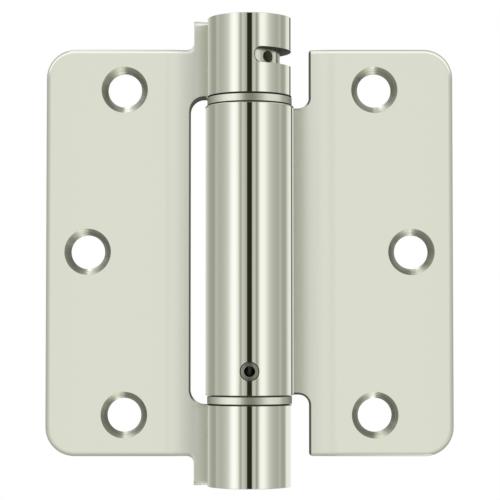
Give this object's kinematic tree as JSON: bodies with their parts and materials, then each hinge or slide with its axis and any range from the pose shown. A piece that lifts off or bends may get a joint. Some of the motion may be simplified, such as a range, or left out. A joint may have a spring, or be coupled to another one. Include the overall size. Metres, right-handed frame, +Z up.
{
  "type": "spring loaded door hinge",
  "caption": "Spring loaded door hinge with round-cornered leaves, countersunk screw holes and a thick spring barrel with a slot for the tension pin, opened flat.",
  "frame": {"origin": "on the barrel's axis at the leaves' mid-height", "axes": "+Z up along the barrel towards the slotted knuckle, +X towards the door leaf, -Y towards the countersunk faces of the leaves"},
  "size_m": [0.0888, 0.0192, 0.1016],
  "materials": {
    "leaf_nickel": "polished nickel plate on rolled steel",
    "washer_steel": "turned steel",
    "collar_nickel": "nickel plate on turned steel",
    "plug_steel": "turned steel",
    "pin_steel": "plain steel, hollow",
    "spring_steel": "oiled spring steel"
  },
  "bodies": {
    "frame": {"frame_leaf": "leaf_nickel", "lower_washer": "washer_steel"},
    "door": {"door_leaf": "leaf_nickel", "upper_washer": "washer_steel", "anchor_plug": "plug_steel", "anchor_pin": "pin_steel", "torsion_spring": "spring_steel"},
    "collar": {"tension_collar": "collar_nickel"}
  },
  "joints": [
    {"name": "leaf_swing", "type": "hinge", "parent": "frame", "child": "door", "pos_m": [0, 0, 0], "axis": [0, 0, 1], "range_deg": [-180, 0], "deforming": ["torsion_spring"]},
    {"name": "collar_turn", "type": "hinge", "parent": "frame", "child": "collar", "pos_m": [0, 0, 0.04185], "axis": [0, 0, 1], "range_deg": [-300, 0], "deforming": ["torsion_spring"]}
  ]
}
